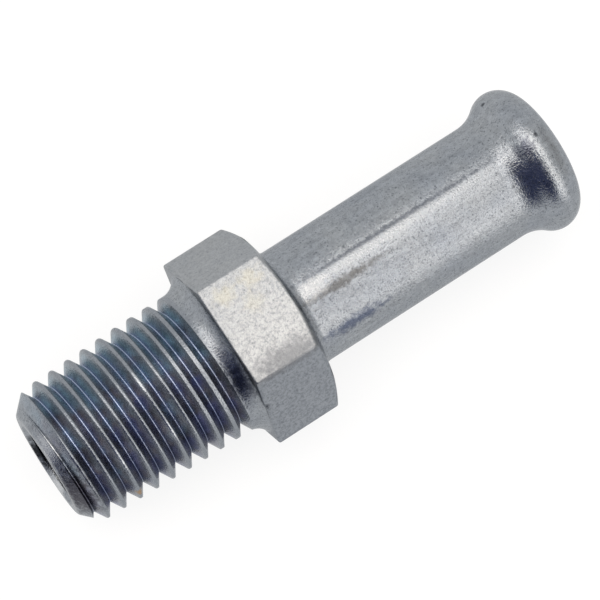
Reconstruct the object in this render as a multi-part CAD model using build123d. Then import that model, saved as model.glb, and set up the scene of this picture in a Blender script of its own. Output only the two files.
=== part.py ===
from build123d import *
import math
import os

# Beaded hose spigot with a tapered pipe thread, turned in one piece from hexagonal bar.
# Millimetres. The part lies along X, with the bead at the +X end and +Z out of the upper hexagon flat.
# The origin is on the axis, in the hexagon's face on the thread side.

# Lengths along the axis
thread_length = 10.24        # front face to the hexagon
hexagon_length = 3.945
spigot_length = 15.754       # hexagon to the end of the bead

# Diameters
blank_diameter = 7.94        # neck behind the thread
hexagon_across_flats = 9.23
spigot_diameter = 6.35       # inside diameter of the hose that it fits
bore_diameter = 4.2

# Tapered thread, right-handed: 27 turns to the inch, 1 in 16 on the diameter
thread_pitch = 0.9407
thread_taper = 1 / 16
tapered_length = 6.59        # front face to where the parallel blank cuts the crests off
thread_depth = 0.667
thread_angle = 60.0
groove_lead_in = 0.706       # the groove crosses the +Y side this far ahead of the front face
groove_end_gap = 0.82        # middle of the groove's end to the hexagon

# Front end
front_chamfer_depth = 0.909  # the chamfer comes in this far below the crests
front_chamfer_angle = 45.0

# Neck behind the thread, which flares out on to the hexagon
flare_radius = 1.0
flare_height = 0.585
crossed_share = 0.6          # of the flare's arc, from the neck on, where the groove's end crosses it

# Hexagon's chamfer on the spigot side
rim_inset = 0.415            # chamfer's sharp inner edge, inside the middle of the flats
rim_chamfer_angle = 21.0
spigot_fillet = 0.6
fillet_share = 0.9           # most of the step down to the tube that the fillet may take

# Bead
bead_height = 0.79           # crown over the tube
bead_round = 1.28            # radius of the crown and the nose
bead_blend = 2.08            # hollow between the tube and the crown

# Mouth of the bore at the thread end
front_countersink = 0.20     # widening of the radius

# Cutters run this far past the faces that they cut
overrun = 0.5
groove_overrun = 0.03        # less than half of what is left between two turns of the groove

# Worked out from the sizes above
front = -thread_length
spigot_end = hexagon_length + spigot_length
neck_radius = blank_diameter / 2
tube_radius = spigot_diameter / 2
taper_slope = thread_taper / 2
neck_start = front + tapered_length
bar_radius = hexagon_across_flats / 2 / math.cos(math.pi / 6)


def crest_radius(x):
    """Radius of the tapered crests, as they would be if the blank did not cut them off."""
    return neck_radius + (x - neck_start) * taper_slope


def round_stretch(centre, radius, first, last, pieces=1):
    """Arc between two directions, in degrees from +X outwards, as conics of equal turn."""
    turn = math.radians(last - first) / pieces
    reach = radius / math.cos(turn / 2)
    curves = []
    for number in range(pieces):
        begin = math.radians(first) + number * turn
        spokes = [(begin, radius), (begin + turn / 2, reach), (begin + turn, radius)]
        points = [(centre[0] + r * math.cos(a), centre[1] + r * math.sin(a)) for a, r in spokes]
        curves.append(Bezier(*points, weights=[1, math.cos(turn / 2), 1]))
    return curves


def front_outline():
    """Front face, its chamfer, and the tapered blank of the thread."""
    chamfer_slope = math.tan(math.radians(front_chamfer_angle))
    land_radius = crest_radius(front) - front_chamfer_depth
    chamfer_length = front_chamfer_depth / (chamfer_slope - taper_slope)
    chamfer_end = (front + chamfer_length, crest_radius(front + chamfer_length))
    return [
        Line((front, 0), (front, land_radius)),
        Line((front, land_radius), chamfer_end),
        Line(chamfer_end, (neck_start, neck_radius)),
    ]


def neck_outline():
    """Parallel neck, and the flare that runs out on the hexagon's face, as a crossed and a whole stretch."""
    turn = math.degrees(math.acos(1 - flare_height / flare_radius))
    crossed = turn * crossed_share
    centre = (-flare_radius * math.sin(math.radians(turn)), neck_radius + flare_radius)
    return [
        Line((neck_start, neck_radius), (centre[0], neck_radius)),
        CenterArc(centre, flare_radius, -90, crossed),
        *round_stretch(centre, flare_radius, -90 + crossed, -90 + turn),
    ]


def hexagon_outline():
    """Hexagon's face on the thread side, clear of the bar, the chamfer, and the fillet down to the tube."""
    clear_radius = bar_radius + overrun
    rim_radius = hexagon_across_flats / 2 - rim_inset
    chamfer_rise = (clear_radius - rim_radius) * math.tan(math.radians(rim_chamfer_angle))
    fillet = min(spigot_fillet, fillet_share * (rim_radius - tube_radius))
    centre = (hexagon_length + fillet, tube_radius + fillet)
    return [
        Line((0, neck_radius + flare_height), (0, clear_radius)),
        Line((0, clear_radius), (hexagon_length - chamfer_rise, clear_radius)),
        Line((hexagon_length - chamfer_rise, clear_radius), (hexagon_length, rim_radius)),
        Line((hexagon_length, rim_radius), (hexagon_length, centre[1])),
        *round_stretch(centre, fillet, 180, 270, 2),
    ]


def bead_outline(tube_start):
    """Straight tube, the hollow blend, the bead's crown and nose, and the end face."""
    crown = (spigot_end - bead_round, tube_radius + bead_height - bead_round)
    rise = tube_radius + bead_blend - crown[1]
    run = math.sqrt((bead_blend + bead_round) ** 2 - rise**2)
    blend = (crown[0] - run, tube_radius + bead_blend)
    meeting = math.degrees(math.atan2(rise, -run))
    return [
        Line(tube_start, (blend[0], tube_radius)),
        *round_stretch(blend, bead_blend, -90, meeting - 180),
        *round_stretch(crown, bead_round, meeting, 0, 4),
        Line((spigot_end, crown[1]), (spigot_end, 0)),
    ]


def turned_outside():
    """Everything that the lathe makes outside, as if the bar were round."""
    outline = front_outline() + neck_outline() + hexagon_outline()
    outline += bead_outline(outline[-1] @ 1)
    outline.append(Line((spigot_end, 0), (front, 0)))
    section = Plane.XZ * make_face([curve.edge() for curve in outline])
    return revolve(section, Axis.X)


def hexagonal_bar():
    """The bar that the fitting is turned from, with two flats level."""
    section = Plane.YZ * RegularPolygon(hexagon_across_flats / 2, 6, major_radius=False)
    return Pos(front - overrun, 0, 0) * extrude(section, spigot_end - front + 2 * overrun)


def bore():
    """Through bore with a countersunk mouth at the thread end."""
    radius = bore_diameter / 2
    outline = Polyline(
        (front - overrun, 0),
        (front - overrun, radius + front_countersink + overrun),
        (front + front_countersink, radius),
        (spigot_end + overrun, radius),
        (spigot_end + overrun, 0),
        close=True,
    )
    return revolve(Plane.XZ * make_face(outline), Axis.X)


def groove_stretch(begin, length, turned_from_y):
    """The thread's V groove for one turn or less, from x = begin, on a helix that widens with the taper."""
    root_radius = crest_radius(begin) - thread_depth
    helix = Plane((0, 0, 0), x_dir=(0, 1, 0), z_dir=(1, 0, 0)) * Helix(
        pitch=thread_pitch,
        height=length,
        radius=root_radius,
        cone_angle=math.degrees(math.atan(taper_slope)),
    )
    height = thread_depth + groove_overrun
    half_mouth = height * math.tan(math.radians(thread_angle / 2))
    section = make_face(
        Polyline(
            (0, root_radius),
            (half_mouth, root_radius + height),
            (-half_mouth, root_radius + height),
            close=True,
        )
    )
    return Pos(begin, 0, 0) * Rot(turned_from_y, 0, 0) * sweep(section, path=helix, is_frenet=True)


def threaded(body):
    """The body with the groove cut a turn at a time, from ahead of the front face to near the hexagon."""
    groove_start = front - groove_lead_in
    groove_length = -groove_end_gap - groove_start
    for turn in range(math.ceil(groove_length / thread_pitch)):
        travelled = turn * thread_pitch
        length = min(thread_pitch, groove_length - travelled)
        body -= groove_stretch(groove_start + travelled, length, turn * 360)
    return body


os.makedirs("parts", exist_ok=True)
fitting = threaded((hexagonal_bar() & turned_outside()) - bore())
export_step(fitting, "parts/hose_fitting.step")
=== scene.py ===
# %% [markdown]
# # A beaded hose spigot with a tapered pipe thread
# This small fitting joins a hose to a threaded port. It is turned in one piece from hexagonal steel bar and
# then zinc-plated. A tapered pipe thread is at one end, a hexagon for the spanner in the middle, and at the
# other end a smooth spigot with a bead that keeps the hose from slipping off. This notebook builds its looks
# in Blender round a CAD model that fixes every size. The model lies along X with its bead at the +X end.

import math

import bpy
from mathutils import Matrix, Vector


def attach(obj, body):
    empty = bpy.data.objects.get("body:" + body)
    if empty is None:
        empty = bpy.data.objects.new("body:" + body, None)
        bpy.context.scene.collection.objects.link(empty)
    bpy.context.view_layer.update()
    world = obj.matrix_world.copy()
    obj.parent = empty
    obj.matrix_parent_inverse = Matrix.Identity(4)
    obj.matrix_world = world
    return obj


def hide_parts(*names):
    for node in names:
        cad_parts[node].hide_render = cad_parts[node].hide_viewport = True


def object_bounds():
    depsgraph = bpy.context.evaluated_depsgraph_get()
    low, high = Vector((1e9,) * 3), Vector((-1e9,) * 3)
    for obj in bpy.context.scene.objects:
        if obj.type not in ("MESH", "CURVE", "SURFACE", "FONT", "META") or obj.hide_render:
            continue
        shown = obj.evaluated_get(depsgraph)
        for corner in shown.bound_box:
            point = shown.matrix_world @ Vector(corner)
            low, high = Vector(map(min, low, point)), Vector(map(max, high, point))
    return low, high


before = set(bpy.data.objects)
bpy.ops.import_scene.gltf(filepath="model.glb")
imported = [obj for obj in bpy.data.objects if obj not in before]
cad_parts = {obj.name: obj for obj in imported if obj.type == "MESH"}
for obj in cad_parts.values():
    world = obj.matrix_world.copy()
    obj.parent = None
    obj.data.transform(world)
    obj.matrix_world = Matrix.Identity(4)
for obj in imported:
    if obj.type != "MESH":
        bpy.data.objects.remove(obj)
cad_low, cad_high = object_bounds()
mm = 0.001
print("CAD box in mm:", [round(v / mm, 3) for v in cad_high - cad_low])

# %% [markdown]
# ## Sizes
# The CAD model gives the outer sizes. The others are those of the drawing, all in metres. The thread tapers
# by 1 in 16 on its diameter, so its radius grows by 1 in 32 along the axis, until the parallel blank cuts its
# crests off.

# %% Sizes that several steps share
front, spigot_end = cad_low.x, cad_high.x
across_flats = cad_high.z - cad_low.z
bar_radius = across_flats / 2 / math.cos(math.pi / 6)
neck_radius = 3.97 * mm
neck_start = front + 6.59 * mm
taper_slope = 1 / 32
print("hexagon across flats in mm:", round(across_flats / mm, 3))


def crest_radius(x):
    """Radius of the thread's tapered crests at a place along the axis."""
    return neck_radius + (x - neck_start) * taper_slope


# %% [markdown]
# ## The outline of the turned blank
# A lathe makes everything that is round here, so the piece starts as half of its section, which is then spun
# about the axis. The outline has straight lines and a few arcs. An arc is worked out from its centre, its
# radius and the directions of its two ends. The alternative is a stack of cylinders, which would leave hard
# steps where the real tool left hollows and rounds.

# %% Arcs of the outline
def arc(centre, radius, first, last, steps):
    """Points on an arc, from one direction to another, in degrees from +X towards the outside."""
    angles = [math.radians(first + (last - first) * i / steps) for i in range(steps + 1)]
    return [(centre[0] + radius * math.cos(a), centre[1] + radius * math.sin(a)) for a in angles]


def rounded_corner(before, corner, after, radius, steps):
    """Points on the arc that rounds the corner between two straight lines."""
    corner = Vector(corner)
    back = (Vector(before) - corner).normalized()
    ahead = (Vector(after) - corner).normalized()
    half = back.angle(ahead) / 2
    centre = corner + (back + ahead).normalized() * radius / math.sin(half)
    first = corner + back * radius / math.tan(half) - centre
    last = corner + ahead * radius / math.tan(half) - centre
    turn = first.angle_signed(last)
    start = math.atan2(first.y, first.x)
    angles = [start - turn * i / steps for i in range(steps + 1)]
    return [(centre.x + radius * math.cos(a), centre.y + radius * math.sin(a)) for a in angles]


# %% [markdown]
# The front end has a chamfer of 45 degrees that guides the thread into its port, and plating and handling
# have rounded its inner edge. Behind the thread the neck flares out on to the hexagon, as a round-nosed tool
# leaves it.

# %% Front end and neck
chamfer_depth = 0.909 * mm
front_round = 0.36 * mm
land_radius = crest_radius(front) - chamfer_depth
chamfer_length = chamfer_depth / (1 - taper_slope)
chamfer_end = (front + chamfer_length, crest_radius(front + chamfer_length))
front_edge = rounded_corner((front, 0), (front, land_radius), chamfer_end, front_round, 6)

flare_radius = 1.0 * mm
flare_height = 0.585 * mm
flare_turn = math.degrees(math.acos(1 - flare_height / flare_radius))
flare_centre = (-flare_radius * math.sin(math.radians(flare_turn)), neck_radius + flare_radius)
flare = arc(flare_centre, flare_radius, -90, -90 + flare_turn, 10)
print("points of the front edge and the flare:", len(front_edge), len(flare))

# %% [markdown]
# The hexagon is chamfered on the spigot's side only. The chamfer's cone runs on past the bar's corners here,
# because the hexagonal bar cuts it off later, which leaves the curved edge that each flat has on this side.

# %% Hexagon's rim and the fillet down to the tube
hexagon_length = 3.945 * mm
tube_radius = 3.175 * mm
rim_inset = 0.415 * mm
rim_round = 2.2 * mm
fillet_radius = 0.6 * mm
clear_of_bar = 0.5 * mm
clear_radius = bar_radius + clear_of_bar
rim = (hexagon_length, across_flats / 2 - rim_inset)
rim_slope = math.tan(math.radians(21))
chamfer_start = (hexagon_length - (clear_radius - rim[1]) * rim_slope, clear_radius)
tube_corner = (hexagon_length, tube_radius)
rim_edge = rounded_corner(chamfer_start, rim, tube_corner, rim_round, 8)
fillet = rounded_corner(rim, tube_corner, (spigot_end, tube_radius), fillet_radius, 8)
print("rim's arc starts at a radius in mm of:", round(rim_edge[0][1] / mm, 3))

# %% [markdown]
# A roller forms the bead. It has a hollow that rises from the tube and a crown that rolls over into the nose,
# and the two arcs meet without a corner: their centres and their meeting point lie on one line.

# %% Bead
bead_height, bead_round, bead_blend = 0.79 * mm, 1.28 * mm, 2.08 * mm
crown = Vector((spigot_end - bead_round, tube_radius + bead_height - bead_round))
blend_rise = tube_radius + bead_blend - crown.y
blend_run = math.sqrt((bead_blend + bead_round) ** 2 - blend_rise**2)
blend_centre = (crown.x - blend_run, tube_radius + bead_blend)
meeting_angle = math.degrees(math.atan2(blend_rise, -blend_run))
blend = arc(blend_centre, bead_blend, -90, meeting_angle - 180, 12)
nose = arc(crown, bead_round, meeting_angle, 0, 26)
print("hollow meets the crown at:", round(meeting_angle, 1), "degrees")

# %% [markdown]
# ## Spinning the blank
# A closed wire through those points, with the bore as its inner side, is spun a full turn about X. It gives
# the whole turned blank with its through hole at once, and no cut is needed for the bore. A wire is made as
# by hand: a plane is merged to one point, and that point is extruded from corner to corner.

# %% A closed wire
tolerance = 0.001 * mm


def wire(name, points):
    """A closed wire in the XY plane through points given as place along the axis and radius."""
    bpy.ops.object.select_all(action="DESELECT")
    bpy.ops.mesh.primitive_plane_add(size=mm)
    piece = bpy.context.object
    piece.name = name
    bpy.ops.object.mode_set(mode="EDIT")
    bpy.ops.mesh.select_mode(type="VERT")
    bpy.ops.mesh.merge(type="CENTER")
    bpy.ops.transform.translate(value=(points[0][0], points[0][1], 0))
    for here, there in zip(points, points[1:] + points[:1]):
        step = (there[0] - here[0], there[1] - here[1], 0)
        bpy.ops.mesh.extrude_region_move(TRANSFORM_OT_translate={"value": step})
    bpy.ops.mesh.select_all(action="SELECT")
    bpy.ops.mesh.remove_doubles(threshold=tolerance)
    bpy.ops.object.mode_set(mode="OBJECT")
    return piece


bore_radius = 2.1 * mm
countersink = 0.2 * mm
broken_edge = 0.15 * mm
outline = [(front, bore_radius + countersink), *front_edge, chamfer_end, (neck_start, neck_radius), *flare]
outline += [(0, clear_radius), chamfer_start, *rim_edge, *fillet, *blend, *nose]
outline += [(spigot_end, bore_radius + broken_edge), (spigot_end - broken_edge, bore_radius)]
outline += [(front + countersink, bore_radius)]
fitting = wire("fitting", outline)
print("points of the section:", len(fitting.data.vertices))

# %% [markdown]
# After the turn the last ring lies on the first one, so the two are merged. Spin can turn a shape inside out,
# so the faces are then turned outwards.

# %% Turned blank
def pick(piece):
    """Makes a piece the only one that is selected, and the active one."""
    bpy.ops.object.select_all(action="DESELECT")
    piece.select_set(True)
    bpy.context.view_layer.objects.active = piece


def merge_and_face_outwards(piece):
    """Merges the points that lie on each other, and turns every face outwards."""
    pick(piece)
    bpy.ops.object.mode_set(mode="EDIT")
    bpy.ops.mesh.select_all(action="SELECT")
    bpy.ops.mesh.remove_doubles(threshold=tolerance)
    bpy.ops.mesh.normals_make_consistent(inside=False)
    bpy.ops.object.mode_set(mode="OBJECT")


pick(fitting)
bpy.ops.object.mode_set(mode="EDIT")
bpy.ops.mesh.select_all(action="SELECT")
bpy.ops.mesh.spin(steps=192, angle=2 * math.pi, center=(0, 0, 0), axis=(1, 0, 0))
bpy.ops.object.mode_set(mode="OBJECT")
merge_and_face_outwards(fitting)
print("faces of the turned blank:", len(fitting.data.polygons))

# %% [markdown]
# ## The hexagon
# The real part starts as hexagonal bar, and what the tool doesn't reach stays hexagonal. So the blank is
# intersected with a six-sided bar whose long edges are slightly rounded, as drawn bar has them. The rounding
# has five steps, so that none of its points falls on a line of the turned blank.

# %% Hexagonal bar
def apply_boolean(piece, other, operation):
    """Combines a piece with another one, which is then deleted."""
    bpy.context.view_layer.objects.active = piece
    combined = piece.modifiers.new("combined", "BOOLEAN")
    combined.operation = operation
    combined.solver = "EXACT"
    combined.object = other
    bpy.ops.object.modifier_apply(modifier=combined.name)
    bpy.data.objects.remove(other)


bar_overrun = mm
long_edge_bevel = 0.08 * mm
bpy.ops.object.select_all(action="DESELECT")
bpy.ops.mesh.primitive_cylinder_add(
    vertices=6,
    radius=bar_radius,
    depth=spigot_end - front + 2 * bar_overrun,
    location=((spigot_end + front) / 2, 0, 0),
    rotation=(0, math.pi / 2, 0),
)
bar = bpy.context.object
bpy.ops.object.transform_apply(location=True, rotation=True, scale=True)
bpy.ops.object.mode_set(mode="EDIT")
bpy.ops.mesh.select_all(action="DESELECT")
bpy.ops.object.mode_set(mode="OBJECT")
for edge in bar.data.edges:
    ends = [bar.data.vertices[i].co for i in edge.vertices]
    edge.select = abs(ends[0].x - ends[1].x) > bar_overrun
bpy.ops.object.mode_set(mode="EDIT")
bpy.ops.mesh.select_mode(type="EDGE")
bpy.ops.mesh.bevel(offset=long_edge_bevel, segments=5, affect="EDGES")
bpy.ops.object.mode_set(mode="OBJECT")
apply_boolean(fitting, bar, "INTERSECT")
print("faces with the hexagon:", len(fitting.data.polygons))

# %% [markdown]
# Barrel plating knocks the sharp corners off. The flats' edges at both ends of the hexagon get a narrow
# bevel, one against the face on the thread side and one against the chamfer. On the thread side it shows as a
# thin dark line, because it faces along the axis, away from the light.

# %% Soften the hexagon's end edges
def chamfer_place(radius):
    """Place along the axis of the hexagon's chamfer at a radius."""
    return hexagon_length - (radius - rim[1]) * rim_slope


end_edge_bevel = 0.11 * mm
pick(fitting)
bpy.ops.object.mode_set(mode="EDIT")
bpy.ops.mesh.select_mode(type="EDGE")
bpy.ops.mesh.select_all(action="DESELECT")
bpy.ops.object.mode_set(mode="OBJECT")
for edge in fitting.data.edges:
    ends = [fitting.data.vertices[i].co for i in edge.vertices]
    on_face = all(abs(p.x) < tolerance for p in ends)
    on_chamfer = all(abs(p.x - chamfer_place(math.hypot(p.y, p.z))) < tolerance for p in ends)
    outermost = all(math.hypot(p.y, p.z) > across_flats / 2 - tolerance for p in ends)
    edge.select = outermost and (on_face or on_chamfer)
print("edges to soften:", sum(edge.select for edge in fitting.data.edges))
bpy.ops.object.mode_set(mode="EDIT")
bpy.ops.mesh.bevel(offset=end_edge_bevel, segments=3, affect="EDGES")
bpy.ops.object.mode_set(mode="OBJECT")

# %% [markdown]
# ## The thread
# A die cuts the thread: one V groove of 60 degrees that winds round the blank, 27 turns to the inch. Here the
# groove's section is a closed wire, the Screw modifier winds it into a solid, a Simple Deform taper makes it
# follow the cone, and it is cut away from the blank. The section widens in an arc where it leaves the metal,
# so the crests come out rounded as on a plated part. A row of rings would be simpler, but its grooves
# wouldn't lean, and no groove would run out at the front and at the neck.

# %% Section of the groove
thread_pitch = 0.9407 * mm
thread_depth = 0.667 * mm
half_root = 0.02 * mm
flank_slope = math.tan(math.radians(30))
crest_round = 0.10 * mm
above_crest = 0.004 * mm
groove_lead_in = 0.706 * mm
groove_end_gap = 0.82 * mm
cutter_overrun = mm
groove_start = front - groove_lead_in
groove_length = -groove_end_gap - groove_start
crest_at_origin = crest_radius(0)
root = crest_at_origin - thread_depth
top = crest_at_origin + above_crest
half_mouth = half_root + (top - root) * flank_slope
mouth_edge = (half_mouth + cutter_overrun, top)
mouth_round = rounded_corner((half_root, root), (half_mouth, top), mouth_edge, crest_round, 5)
side = [(half_root, root), *mouth_round, (mouth_round[-1][0], top + cutter_overrun)]
section = side + [(-x, r) for x, r in reversed(side)]
cutter = wire("groove", [(x + groove_start, r) for x, r in section])
print("groove's mouth in mm:", round(2 * mouth_round[-1][0] / mm, 3), "of a pitch of", thread_pitch / mm)

# %% [markdown]
# The taper keeps the radius at the origin and scales the rest in proportion to its place along the axis. Its
# factor counts from one end of the cutter to the other, so the cutter's own length goes into it.

# %% Groove cutter
steps_per_turn = 96
turns = groove_length / thread_pitch
bpy.context.view_layer.objects.active = cutter
screw = cutter.modifiers.new("turns", "SCREW")
screw.axis = "X"
screw.angle = turns * 2 * math.pi
screw.screw_offset = groove_length
screw.iterations = 1
screw.steps = screw.render_steps = round(turns * steps_per_turn)
bpy.ops.object.modifier_apply(modifier=screw.name)
bpy.ops.object.mode_set(mode="EDIT")
bpy.ops.mesh.select_all(action="SELECT")
bpy.ops.mesh.fill_holes(sides=0)
bpy.ops.mesh.normals_make_consistent(inside=False)
bpy.ops.object.mode_set(mode="OBJECT")

taper = cutter.modifiers.new("taper", "SIMPLE_DEFORM")
taper.deform_method = "TAPER"
taper.deform_axis = "X"
cutter_xs = [v.co.x for v in cutter.data.vertices]
taper.factor = taper_slope / crest_at_origin * (max(cutter_xs) - min(cutter_xs))
bpy.ops.object.modifier_apply(modifier=taper.name)
print("faces of the groove cutter:", len(cutter.data.polygons), "in", round(turns, 2), "turns")

# %% [markdown]
# The cut leaves a few points almost on top of each other, which are merged.

# %% Cut the thread
apply_boolean(fitting, cutter, "DIFFERENCE")
merge_and_face_outwards(fitting)
print("faces with the thread:", len(fitting.data.polygons))

# %% [markdown]
# Smooth shading hides the facets of the turned faces, and edges sharper than 30 degrees stay crisp. Weighted
# normals keep the large flats flat beside their narrow bevels.

# %% Smooth shading
pick(fitting)
bpy.ops.object.shade_smooth_by_angle(angle=math.radians(30))
normals = fitting.modifiers.new("normals", "WEIGHTED_NORMAL")
normals.keep_sharp = True
bpy.ops.object.modifier_apply(modifier=normals.name)
print("vertices:", len(fitting.data.vertices))

# %% [markdown]
# ## Material helpers
# Colours are written as sRGB hex values, as a colour picker shows them. Blender's nodes work in linear light,
# so one function turns them. Another adds a node with its settings and its links.

# %% Colour and node helpers
def linear(code):
    """Linear colour of an sRGB hex value."""
    values = [int(code[i : i + 2], 16) / 255 for i in (1, 3, 5)]
    return (*[v / 12.92 if v <= 0.04045 else ((v + 0.055) / 1.055) ** 2.4 for v in values], 1)


def add_node(tree, kind, inputs=None, **settings):
    """A node with its settings, whose inputs are set to values or linked to sockets."""
    node = tree.nodes.new(kind)
    for name, value in settings.items():
        setattr(node, name, value)
    for name, value in (inputs or {}).items():
        if isinstance(value, bpy.types.NodeSocket):
            tree.links.new(value, node.inputs[name])
        else:
            node.inputs[name].default_value = value
    return node


print("mid grey of #808080 in linear light:", round(linear("#808080")[0], 3))

# %% [markdown]
# ## Zinc-plated steel
# The fitting is free-machining steel with bright zinc plate and a thin blue film from the bath that seals it.
# Parts like this are plated loose in a barrel, where they rub on each other. So the metal is a cool mid grey
# that is clouded, speckled with tiny pits and marked along the bar, a little shinier where it was turned than
# on the drawn flats, and bluer down in the thread, where nothing rubs the film. A flat grey with one
# roughness would look like plastic, so each of those layers is a pattern of its own, at its own size in
# millimetres. All of them read Object coordinates, which stay on the piece.

# %% Place on the piece, in millimetres
zinc = bpy.data.materials.new("barrel_zinc_plated_steel")
zinc.use_nodes = True
tree = zinc.node_tree
shader = tree.nodes["Principled BSDF"]
shader.inputs["Metallic"].default_value = 1.0
shader.inputs["Specular Tint"].default_value = linear("#DCDEE0")
coordinates = add_node(tree, "ShaderNodeTexCoord").outputs["Object"]
place = add_node(
    tree, "ShaderNodeVectorMath", {0: coordinates, 1: (1 / mm, 1 / mm, 1 / mm)}, operation="MULTIPLY"
).outputs[0]
parts_of_place = add_node(tree, "ShaderNodeSeparateXYZ", {0: place})
along, sideways = parts_of_place.outputs["X"], parts_of_place.outputs["Y"]
across = add_node(tree, "ShaderNodeVectorMath", {0: place, 1: (0, 1, 1)}, operation="MULTIPLY").outputs[0]
radius = add_node(tree, "ShaderNodeVectorMath", {0: across}, operation="LENGTH").outputs["Value"]
print("the pattern's unit is a millimetre, and the piece is", round((spigot_end - front) / mm, 1), "long")

# %% [markdown]
# The thread, the flats, the bead and the bore each get a finish of their own. A mask for each is worked out
# from the place along the axis and from the radius, in millimetres, with a soft edge. Painted vertex groups
# would do too, but they can't be finer than the mesh.

# %% Where the thread, the hexagon, the bead and the bore are
masks = {}
for name, measured, none_at, full_at in [
    ("behind the front chamfer", along, front / mm + 0.3, front / mm + 1.0),
    ("ahead of the neck", along, -0.75, -0.95),
    ("before the tube", along, 4.1, 3.8),
    ("outside the neck's flare", radius, 4.53, 4.6),
    ("on the bead", along, 15.9, 17.0),
]:
    masks[name] = add_node(
        tree,
        "ShaderNodeMapRange",
        {"Value": measured, "From Min": none_at, "From Max": full_at},
        interpolation_type="SMOOTHSTEP",
        label=name,
    ).outputs[0]
in_thread = add_node(
    tree,
    "ShaderNodeMath",
    {0: masks["behind the front chamfer"], 1: masks["ahead of the neck"]},
    operation="MULTIPLY",
).outputs[0]
on_flats = add_node(
    tree,
    "ShaderNodeMath",
    {0: masks["before the tube"], 1: masks["outside the neck's flare"]},
    operation="MULTIPLY",
).outputs[0]
inner_wall = add_node(
    tree, "ShaderNodeMapRange", {"Value": radius, "From Min": 2.3, "From Max": 2.15}
).outputs[0]
behind_mouth = add_node(
    tree, "ShaderNodeMapRange", {"Value": along, "From Min": front / mm + 1.0, "From Max": front / mm + 2.0}
).outputs[0]
in_bore = add_node(tree, "ShaderNodeMath", {0: inner_wall, 1: behind_mouth}, operation="MULTIPLY").outputs[0]
print("soft masks:", len(masks) + 2)

# %% [markdown]
# ## Clouds, mottle and pits
# Clouds are about 2 mm across, and come from zinc that grew unevenly. The mottle is about 0.3 mm, and the
# pits are the finest: real ones are about 0.02 mm, too fine for the picture, so they are drawn at 0.09 mm.

# %% Clouds and mottle
clouds = add_node(tree, "ShaderNodeTexNoise", {"Vector": place, "Scale": 0.45, "Detail": 3.0}).outputs[0]
cloud_tint = add_node(
    tree,
    "ShaderNodeMix",
    {0: clouds, 6: linear("#858B94"), 7: linear("#9C9FA1")},
    data_type="RGBA",
).outputs[2]
mottle = add_node(
    tree, "ShaderNodeTexNoise", {"Vector": place, "Scale": 3.2, "Detail": 4.0, "Roughness": 0.65}
).outputs[0]
mottle_light = add_node(
    tree,
    "ShaderNodeMapRange",
    {"Value": mottle, "From Min": 0.3, "From Max": 0.7, "To Min": 0.84, "To Max": 1.14},
).outputs[0]
metal = add_node(
    tree,
    "ShaderNodeMix",
    {0: 1.0, 6: cloud_tint, 7: mottle_light},
    data_type="RGBA",
    blend_type="MULTIPLY",
).outputs[2]
print("clouds in mm:", round(1 / 0.45, 1), "mottle in mm:", round(1 / 3.2, 1))

# %% Pits
grain = add_node(
    tree, "ShaderNodeTexNoise", {"Vector": place, "Scale": 11.0, "Detail": 2.0, "Roughness": 0.6}
).outputs[0]
pits = add_node(
    tree,
    "ShaderNodeMapRange",
    {"Value": grain, "From Min": 0.44, "From Max": 0.30, "To Min": 0.0, "To Max": 0.75},
).outputs[0]
metal = add_node(
    tree,
    "ShaderNodeMix",
    {0: pits, 6: metal, 7: linear("#3C4048")},
    data_type="RGBA",
).outputs[2]
print("pits in mm:", round(1 / 11.0, 2))

# %% [markdown]
# ## Marks along the bar
# The bar was drawn through a die and the fitting rubbed lengthwise in handling, so fine streaks run along X.
# They are one noise pattern of 0.2 mm, squeezed to an eighth of its frequency in that direction.

# %% Streaks along the bar
squeezed = add_node(
    tree, "ShaderNodeVectorMath", {0: place, 1: (0.12, 1, 1)}, operation="MULTIPLY"
).outputs[0]
streaks = add_node(
    tree, "ShaderNodeTexNoise", {"Vector": squeezed, "Scale": 4.5, "Detail": 3.0, "Roughness": 0.6}
).outputs[0]
streak_light = add_node(
    tree,
    "ShaderNodeMapRange",
    {"Value": streaks, "From Min": 0.3, "From Max": 0.7, "To Min": 0.90, "To Max": 1.09},
).outputs[0]
metal = add_node(
    tree,
    "ShaderNodeMix",
    {0: 1.0, 6: metal, 7: streak_light},
    data_type="RGBA",
    blend_type="MULTIPLY",
).outputs[2]
print("streaks in mm:", round(1 / 4.5, 2), "wide and", round(1 / 4.5 / 0.12, 1), "long")

# %% [markdown]
# ## Film in the thread
# Down in the grooves nothing rubs the sealing film. Its colour runs from a pale blue-grey towards +Y to a
# darker violet grey towards −Y, with a warmer grey in between. What tells the grooves from the rest is
# the depth under the crests, which are tapered first and parallel near the neck.

# %% Depth under the crests
tapered_crest = add_node(
    tree,
    "ShaderNodeMath",
    {0: along, 1: taper_slope, 2: (neck_radius - neck_start * taper_slope) / mm},
    operation="MULTIPLY_ADD",
).outputs[0]
crest = add_node(
    tree, "ShaderNodeMath", {0: tapered_crest, 1: neck_radius / mm}, operation="MINIMUM"
).outputs[0]
depth = add_node(tree, "ShaderNodeMath", {0: crest, 1: radius}, operation="SUBTRACT").outputs[0]
in_groove = add_node(
    tree,
    "ShaderNodeMapRange",
    {"Value": depth, "From Min": 0.04, "From Max": 0.4, "To Min": 0.0, "To Max": 0.9},
).outputs[0]
filmed = add_node(tree, "ShaderNodeMath", {0: in_groove, 1: in_thread}, operation="MULTIPLY").outputs[0]
print("the film is whole from 0.4 mm deep, of a thread", round(thread_depth / mm, 3), "mm deep")

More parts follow.
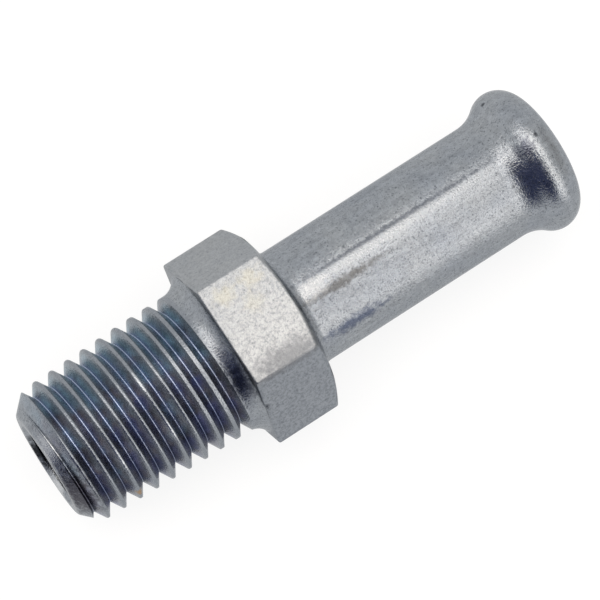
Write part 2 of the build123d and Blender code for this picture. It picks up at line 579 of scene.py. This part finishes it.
# %% Film
film_clouds = add_node(tree, "ShaderNodeTexNoise", {"Vector": place, "Scale": 0.7, "Detail": 2.0}).outputs[0]
film_shift = add_node(
    tree, "ShaderNodeMath", {0: sideways, 1: -0.05, 2: film_clouds}, operation="MULTIPLY_ADD"
).outputs[0]
film_tint = add_node(tree, "ShaderNodeValToRGB", {0: film_shift})
film_tint.color_ramp.elements[0].position = 0.32
film_tint.color_ramp.elements[0].color = linear("#8FA3AF")
film_tint.color_ramp.elements[1].position = 0.68
film_tint.color_ramp.elements[1].color = linear("#7A7D96")
film_tint.color_ramp.elements.new(0.45).color = linear("#8C98A4")
film_tint.color_ramp.elements.new(0.57).color = linear("#8A878C")
film_patches = add_node(
    tree, "ShaderNodeTexNoise", {"Vector": place, "Scale": 1.3, "Detail": 3.0, "Roughness": 0.6}
).outputs[0]
film_light = add_node(
    tree,
    "ShaderNodeMapRange",
    {"Value": film_patches, "From Min": 0.35, "From Max": 0.6, "To Min": 0.7, "To Max": 1.25},
).outputs[0]
film_metal = add_node(
    tree,
    "ShaderNodeMix",
    {0: 1.0, 6: film_tint.outputs[0], 7: film_light},
    data_type="RGBA",
    blend_type="MULTIPLY",
).outputs[2]
metal = add_node(
    tree,
    "ShaderNodeMix",
    {0: filmed, 6: metal, 7: film_metal},
    data_type="RGBA",
).outputs[2]
print("film's colours in mm:", round(1 / 0.7, 1), "and its patches:", round(1 / 1.3, 1))

# %% [markdown]
# A blue line along the groove's root is a painted reflection: pale on most of the thread, and darkened by
# painted shade towards −Y. On the crests the film is rubbed off, down to a plain mid grey.

# %% Painted reflection along the root, and rubbed crests
# Painted reflection along the root, darkened by painted shade towards −Y.
root_depth = add_node(
    tree,
    "ShaderNodeMapRange",
    {"Value": depth, "From Min": 0.46, "From Max": 0.62, "To Min": 0.0, "To Max": 0.7},
).outputs[0]
painted_reflection_at_root = add_node(tree, "ShaderNodeMath", {0: root_depth, 1: in_thread}, operation="MULTIPLY").outputs[0]
painted_shade_towards_minus_y = add_node(
    tree, "ShaderNodeMapRange", {"Value": sideways, "From Min": -2.8, "From Max": -0.6}
).outputs[0]
painted_root_reflection_tint = add_node(
    tree,
    "ShaderNodeMix",
    {0: painted_shade_towards_minus_y, 6: linear("#5A6480"), 7: linear("#96A2BC")},
    data_type="RGBA",
).outputs[2]
metal = add_node(
    tree,
    "ShaderNodeMix",
    {0: painted_reflection_at_root, 6: metal, 7: painted_root_reflection_tint},
    data_type="RGBA",
).outputs[2]
crest_depth = add_node(
    tree,
    "ShaderNodeMapRange",
    {"Value": depth, "From Min": 0.08, "From Max": 0.02, "To Min": 0.0, "To Max": 0.6},
).outputs[0]
rubbed = add_node(tree, "ShaderNodeMath", {0: crest_depth, 1: in_thread}, operation="MULTIPLY").outputs[0]
metal = add_node(
    tree,
    "ShaderNodeMix",
    {0: rubbed, 6: metal, 7: linear("#80858C")},
    data_type="RGBA",
).outputs[2]
print("width of the root's line on each flank in mm:", round((thread_depth / mm - 0.46) * flank_slope, 2))

# %% [markdown]
# ## Drawn flats
# The hexagon's flats were never machined. They are paler and duller than the turned faces, with a fine grey
# marbling of about 0.2 mm. The share of the pale marbled colour grows from +Y to −Y, and painted shade
# darkens the flat on the −Y side.

# %% Flats
flat_speckle = add_node(
    tree, "ShaderNodeTexNoise", {"Vector": place, "Scale": 6.0, "Detail": 5.0, "Roughness": 0.85}
).outputs[0]
flat_tint = add_node(tree, "ShaderNodeValToRGB", {0: flat_speckle})
flat_tint.color_ramp.elements[0].position = 0.35
flat_tint.color_ramp.elements[0].color = linear("#7C7F82")
flat_tint.color_ramp.elements[1].position = 0.55
flat_tint.color_ramp.elements[1].color = linear("#B4B5B5")
paleness = add_node(
    tree,
    "ShaderNodeMapRange",
    {"Value": sideways, "From Min": 3.0, "From Max": -3.0, "To Min": 0.45, "To Max": 0.95},
).outputs[0]
flats_share = add_node(tree, "ShaderNodeMath", {0: on_flats, 1: paleness}, operation="MULTIPLY").outputs[0]
# Painted shade on the flat on the −Y side.
painted_shade_on_minus_y_flat = add_node(
    tree, "ShaderNodeMapRange", {"Value": sideways, "From Min": -2.55, "From Max": -2.75}
).outputs[0]
flat_metal = add_node(
    tree,
    "ShaderNodeMix",
    {0: painted_shade_on_minus_y_flat, 6: flat_tint.outputs[0], 7: linear("#CDD2DA")},
    data_type="RGBA",
    blend_type="MULTIPLY",
).outputs[2]
metal = add_node(
    tree,
    "ShaderNodeMix",
    {0: flats_share, 6: metal, 7: flat_metal},
    data_type="RGBA",
).outputs[2]
print("marbling in mm:", round(1 / 6.0, 2))

# %% [markdown]
# ## Stains, knocks and painted light
# A used fitting has marks in places of its own, and painted light is laid on in places of its own too. Each
# is a soft ellipsoid round a place on the surface, broken up by the mottle, in which the metal takes another
# colour. The list gives its centre and its half sizes in millimetres, its colour and its strength. Some are
# stains, small pits, dents and a nick, and a brown and a blue streak on the tube are plain darker tints. The
# pale ones on the tube, the chamfer, the mouth and the crests are painted highlights and glints. The dark
# ones on the tube, the chamfer, the neck and the bead are painted reflections. The dark wall of the mouth
# and the flat's dark edge are painted shade.

# %% Stains, knocks and painted light
marks_and_painted_light = [
    ("brown streak", (6.4, -0.52, 3.13), (2.3, 0.26, 0.3), "#535251", 0.75),
    ("blue streak", (6.3, -2.40, 2.08), (1.8, 0.34, 0.34), "#3E4860", 0.75),
    # A painted dark reflection along the edge of the tube's glare, then painted highlights on the glare and
    # its start.
    ("painted dark reflection beside the glare", (10.3, 0.53, 3.13), (6.6, 0.15, 0.2), "#4C515A", 0.75),
    ("painted highlight along the tube", (9.4, 0.20, 3.17), (6.5, 0.26, 0.2), "#A4A7AA", 0.6),
    ("painted highlight at the tube's start", (5.1, -0.05, 3.17), (0.9, 0.45, 0.3), "#AAACAE", 0.75),
    # A painted dark reflection and a painted highlight on the front chamfer, a painted highlight on the
    # mouth's rim and painted shade in the mouth.
    ("painted dark reflection on the chamfer", (-9.8, -2.2, 2.1), (0.8, 1.8, 1.8), "#2E2832", 0.8),
    ("painted highlight on the chamfer", (-10.0, 0.45, 3.0), (0.4, 0.8, 0.5), "#C8CACC", 0.6),
    ("painted highlight on the mouth's rim", (-10.2, -0.9, -2.0), (0.3, 0.7, 0.5), "#C8CACC", 0.8),
    ("painted shade in the mouth", (-9.9, 1.1, -1.9), (0.7, 1.1, 0.7), "#0C0E12", 0.9),
    # A painted dark reflection at the end of the neck.
    ("painted dark reflection at the neck's end", (-0.45, -2.1, 3.6), (0.6, 1.2, 0.8), "#202436", 0.8),
    # Painted glints on three crests.
    ("painted glint on a crest", (-4.63, 0.6, 3.95), (0.25, 0.6, 0.3), "#D0D4D8", 0.45),
    ("second painted glint on a crest", (-4.51, -2.2, 3.3), (0.25, 0.75, 0.5), "#D0D4D8", 0.5),
    ("third painted glint on a crest", (-7.33, -2.05, 3.3), (0.25, 0.9, 0.6), "#D0D4D8", 0.45),
    # Painted shade along the −Y edge of the top flat.
    ("painted shade on the flat's edge", (2.0, -2.35, 4.6), (2.4, 0.75, 0.4), "#6C6E72", 0.75),
    ("yellow spot", (1.1, 1.8, 4.6), (0.6, 0.5, 0.3), "#BAB49A", 0.28),
    ("second yellow spot", (2.6, 1.9, 4.6), (0.6, 0.5, 0.3), "#BAB49A", 0.28),
    ("third yellow spot", (2.1, 0.8, 4.6), (0.5, 0.5, 0.3), "#BAB49A", 0.2),
    ("nick on the flat's edge", (0.08, -3.68, 2.85), (0.13, 0.16, 0.18), "#1C2028", 0.9),
    # A painted dark reflection on the bead.
    ("painted dark reflection on the bead", (17.7, 0.05, 3.85), (0.55, 0.6, 0.4), "#34384C", 0.65),
    ("dent on the bead", (17.8, 3.3, 1.85), (0.14, 0.14, 0.14), "#20242C", 0.9),
    ("pit on the bead", (18.6, 0.4, 3.93), (0.12, 0.12, 0.15), "#20242C", 0.85),
    ("pit before the bead", (16.4, -1.15, 3.1), (0.12, 0.12, 0.15), "#20242C", 0.8),
    ("grimy crest", (-7.23, -3.7, 1.1), (0.2, 0.25, 0.35), "#9A7C58", 0.9),
]
ragged = add_node(tree, "ShaderNodeMath", {0: mottle, 1: 2.4, 2: -1.2}, operation="MULTIPLY_ADD").outputs[0]
for label, centre, half_sizes, code, strength in marks_and_painted_light:
    offset = add_node(tree, "ShaderNodeVectorMath", {0: place, 1: centre}, operation="SUBTRACT")
    scaled = add_node(tree, "ShaderNodeVectorMath", {0: offset.outputs[0], 1: half_sizes}, operation="DIVIDE")
    away = add_node(tree, "ShaderNodeVectorMath", {0: scaled.outputs[0]}, operation="LENGTH")
    reach = add_node(tree, "ShaderNodeMath", {0: away.outputs["Value"], 1: ragged}, operation="ADD")
    inside = add_node(
        tree,
        "ShaderNodeMapRange",
        {"Value": reach.outputs[0], "From Min": 1.3, "From Max": 0.4, "To Min": 0.0, "To Max": strength},
        label=label,
    )
    metal = add_node(
        tree, "ShaderNodeMix", {0: inside.outputs[0], 6: metal, 7: linear(code)}, data_type="RGBA"
    ).outputs[2]
print("stains:", len(marks_and_painted_light))

# %% [markdown]
# Little zinc reaches the bore in the bath, so past its mouth it shows dull drilled steel.

# %% Bare bore
metal = add_node(
    tree, "ShaderNodeMix", {0: in_bore, 6: metal, 7: linear("#6C6A68")}, data_type="RGBA"
).outputs[2]
tree.links.new(metal, shader.inputs["Base Color"])
print("nodes that make the colour:", len(tree.nodes))

# %% [markdown]
# ## Gloss and grain
# The turned faces are shinier than the flats, and the bead, which a roller formed, is the shiniest. The
# mottle varies the gloss everywhere. The bore is rough from the drill.

# %% Roughness
turned_gloss = add_node(
    tree, "ShaderNodeMapRange", {"Value": masks["on the bead"], "To Min": 0.27, "To Max": 0.2}
).outputs[0]
outside_gloss = add_node(tree, "ShaderNodeMix", {0: on_flats, 2: turned_gloss, 3: 0.36}).outputs[0]
whole_gloss = add_node(tree, "ShaderNodeMix", {0: in_bore, 2: outside_gloss, 3: 0.6}).outputs[0]
mottled_gloss = add_node(
    tree, "ShaderNodeMath", {0: mottle, 1: 0.12, 2: whole_gloss}, operation="MULTIPLY_ADD"
).outputs[0]
roughness = add_node(tree, "ShaderNodeMath", {0: mottled_gloss, 1: 0.06}, operation="SUBTRACT").outputs[0]
tree.links.new(roughness, shader.inputs["Roughness"])
print("roughness: 0.27 turned, 0.2 bead, 0.36 flats, 0.6 bore")

# %% [markdown]
# Two reliefs lie on each other: shallow waves of about 0.6 mm, drawn out along the bar, and the grain of the
# plate. The grain is about a hundredth of a millimetre deep. The real one is finer and shallower, and breaks
# the edge of a reflection into the same sparkle.

# %% Relief
waves = add_node(tree, "ShaderNodeTexNoise", {"Vector": squeezed, "Scale": 1.6, "Detail": 2.0}).outputs[0]
wave_relief = add_node(tree, "ShaderNodeBump", {"Height": waves, "Distance": 0.006 * mm}).outputs[0]
grain_relief = add_node(
    tree, "ShaderNodeBump", {"Height": grain, "Distance": 0.022 * mm, "Normal": wave_relief}
).outputs[0]
tree.links.new(grain_relief, shader.inputs["Normal"])
fitting.data.materials.clear()
fitting.data.materials.append(zinc)
print("nodes in the zinc plate:", len(tree.nodes))

# %% [markdown]
# ## The piece takes the CAD node's place
# The piece rides on the model's only body and stands for the CAD node, which is then hidden.

# %% Ride and replace
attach(fitting, "root")
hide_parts("hose_fitting")
print("the dressed piece:", fitting.name)

# %% [markdown]
# ## Floor
# The fitting lies on its lower flat on a plain white table. Most of what the camera and the metal see of the
# table is plain white, and the rest is lit paper, which keeps the fitting's soft shadow.

# %% Floor
bpy.ops.object.select_all(action="DESELECT")
bpy.ops.mesh.primitive_plane_add(size=3, location=(0, 0, cad_low.z))
floor = bpy.context.object
floor.name = "floor"
paper = bpy.data.materials.new("white_paper")
paper.use_nodes = True
tree = paper.node_tree
lit_paper = tree.nodes["Principled BSDF"]
lit_paper.inputs["Base Color"].default_value = linear("#F4F4F4")
lit_paper.inputs["Roughness"].default_value = 1.0
lit_paper.inputs["Specular IOR Level"].default_value = 0.0
ray = add_node(tree, "ShaderNodeLightPath").outputs
seen = add_node(tree, "ShaderNodeMath", {0: ray["Is Camera Ray"], 1: ray["Is Glossy Ray"]}).outputs[0]
seen = add_node(
    tree, "ShaderNodeMath", {0: seen, 1: ray["Is Transmission Ray"]}, use_clamp=True
).outputs[0]
white_share = add_node(tree, "ShaderNodeMath", {0: seen, 1: 0.8}, operation="MULTIPLY").outputs[0]
white = add_node(tree, "ShaderNodeEmission", {"Color": linear("#FFFFFF"), "Strength": 1.0}).outputs[0]
mix = add_node(tree, "ShaderNodeMixShader", {0: white_share, 1: lit_paper.outputs[0], 2: white})
tree.links.new(mix.outputs[0], tree.nodes["Material Output"].inputs["Surface"])
floor.data.materials.append(paper)
print("floor at z in mm:", round(floor.location.z / mm, 3))

# %% [markdown]
# ## Light
# The room is plain white. Four soft banks, about twice as bright as the room, make the glares, such as the
# one along the tube. A bank is a lamp whose face has a given radiance, so its power is the radiance times pi
# times its area.

# %% Room
world = bpy.data.worlds.new("pale_room")
world.use_nodes = True
world.node_tree.nodes["Background"].inputs["Color"].default_value = linear("#FFFFFF")
world.node_tree.nodes["Background"].inputs["Strength"].default_value = 1.0
bpy.context.scene.world = world
print("room:", world.name)


# %% Soft banks
def soft_bank(name, centre, size, turn, radiance):
    """A rectangular soft lamp whose face has the given radiance."""
    data = bpy.data.lights.new(name, "AREA")
    data.shape = "RECTANGLE"
    data.size, data.size_y = size
    data.energy = radiance * math.pi * size[0] * size[1]
    data.color = linear("#FFF6EC")[:3]
    lamp = bpy.data.objects.new(name, data)
    bpy.context.scene.collection.objects.link(lamp)
    lamp.location = centre
    lamp.rotation_euler = turn
    print(name, "gives", round(data.energy, 3), "W")


level = (0, 0, 0)
upright = (math.pi / 2, 0, 0)
soft_bank("wide_bank", (-0.25, 0.16, 0.50), (0.50, 0.34), level, 2.4)
soft_bank("near_bank", (0.095, 0.10, 0.50), (0.19, 0.22), level, 2.3)
soft_bank("strip_overhead", (0.115, -0.225, 0.50), (0.15, 0.43), level, 1.9)
soft_bank("strip_side", (0.16, -0.50, 0.30), (0.18, 0.54), upright, 2.0)

# %% [markdown]
# Metal shows what stands round it, so a white room alone would make it pale and flat. Dark blue cards on the
# thread's side of the room give the thread and the neck their dark reflections, and a grey one stands beyond
# the bead. Only reflections see them, so they cast no shadow and take no light from the floor.

# %% Dark cards
def card(name, centre, size, turn, paint):
    """A plain card that only reflections see."""
    bpy.ops.object.select_all(action="DESELECT")
    bpy.ops.mesh.primitive_plane_add(size=1, location=centre, rotation=turn)
    sheet = bpy.context.object
    sheet.name = name
    sheet.scale = (*size, 1)
    sheet.visible_camera = sheet.visible_diffuse = sheet.visible_shadow = False
    sheet.data.materials.append(paint)


def card_paint(name, code):
    """A dull paint for a card."""
    paint = bpy.data.materials.new(name)
    paint.use_nodes = True
    paint_shader = paint.node_tree.nodes["Principled BSDF"]
    paint_shader.inputs["Base Color"].default_value = linear(code)
    paint_shader.inputs["Roughness"].default_value = 1.0
    paint_shader.inputs["Specular IOR Level"].default_value = 0.0
    return paint


dark_blue = card_paint("dark_blue_card", "#464D6C")
mid_grey = card_paint("mid_grey_card", "#C8C8C8")
on_edge = (0, math.pi / 2, 0)
card("card_above", (-0.325, -0.265, 0.495), (0.55, 0.69), level, dark_blue)
card("card_end", (-0.60, -0.28, 0.25), (0.48, 0.66), on_edge, dark_blue)
card("card_side", (-0.325, -0.61, 0.25), (0.55, 0.48), upright, dark_blue)
card("card_low", (-0.32, -0.28, -0.004), (0.56, 0.66), level, dark_blue)
card("grey_card", (0.60, -0.12, 0.26), (0.46, 0.66), on_edge, mid_grey)

# %% [markdown]
# ## Camera
# The photograph was taken from above with a long lens. The camera looks straight down at first, is turned
# about the fitting's axis and tilted along it, and then rolled, which slants the fitting in the picture.

# %% Camera
aim = Vector((4.820, 0.150, 0.121)) * mm
distance = 156.358 * mm
turn_about_axis, tilt_along_axis, roll = (math.radians(v) for v in (6.236, -9.757, -32.565))
turned = Matrix.Rotation(turn_about_axis, 4, "X") @ Matrix.Rotation(tilt_along_axis, 4, "Y")
turned = turned @ Matrix.Rotation(roll, 4, "Z")
camera_data = bpy.data.cameras.new("camera")
camera_data.lens, camera_data.sensor_width = 187.9, 36
camera_data.clip_start, camera_data.clip_end = 0.01, 5
camera = bpy.data.objects.new("camera", camera_data)
camera.matrix_world = Matrix.Translation(aim + turned @ Vector((0, 0, distance))) @ turned
bpy.context.scene.collection.objects.link(camera)
bpy.context.scene.camera = camera
bpy.context.scene.view_settings.view_transform = "Standard"
print("camera's place in mm:", [round(v / mm, 1) for v in camera.matrix_world.translation])
